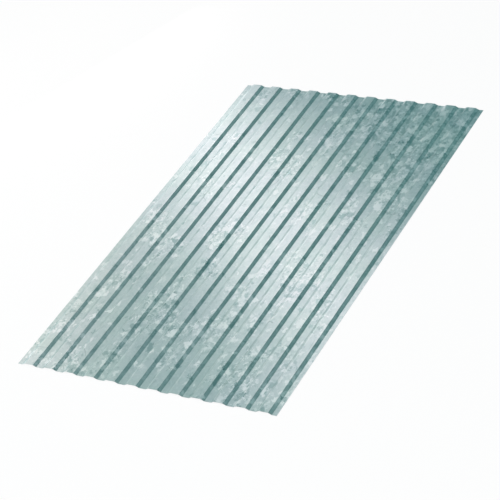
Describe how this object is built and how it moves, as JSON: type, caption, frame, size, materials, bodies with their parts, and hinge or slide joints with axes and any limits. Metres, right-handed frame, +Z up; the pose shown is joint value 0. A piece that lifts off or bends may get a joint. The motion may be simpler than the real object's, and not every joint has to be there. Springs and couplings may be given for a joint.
{
  "type": "corrugated metal sheet",
  "caption": "Rectangular zinc-coated steel sheet roll-formed into shallow, wide trapezoidal ribs along its length, with a flat lip on each long edge, for roofing, cladding or fencing.",
  "frame": {"origin": "middle of the sheet's footprint, at the underside of the pans that it lies on", "axes": "+X across the ribs, +Y along the ribs (the long side), +Z up, out of the side that the crowns stand on"},
  "size_m": [1.2, 2, 0.0085],
  "materials": {
    "zinc_coated_steel": "hot-dip zinc coating, spangled, satin"
  },
  "bodies": {
    "root": {"profiled_sheet": "zinc_coated_steel"}
  },
  "joints": []
}
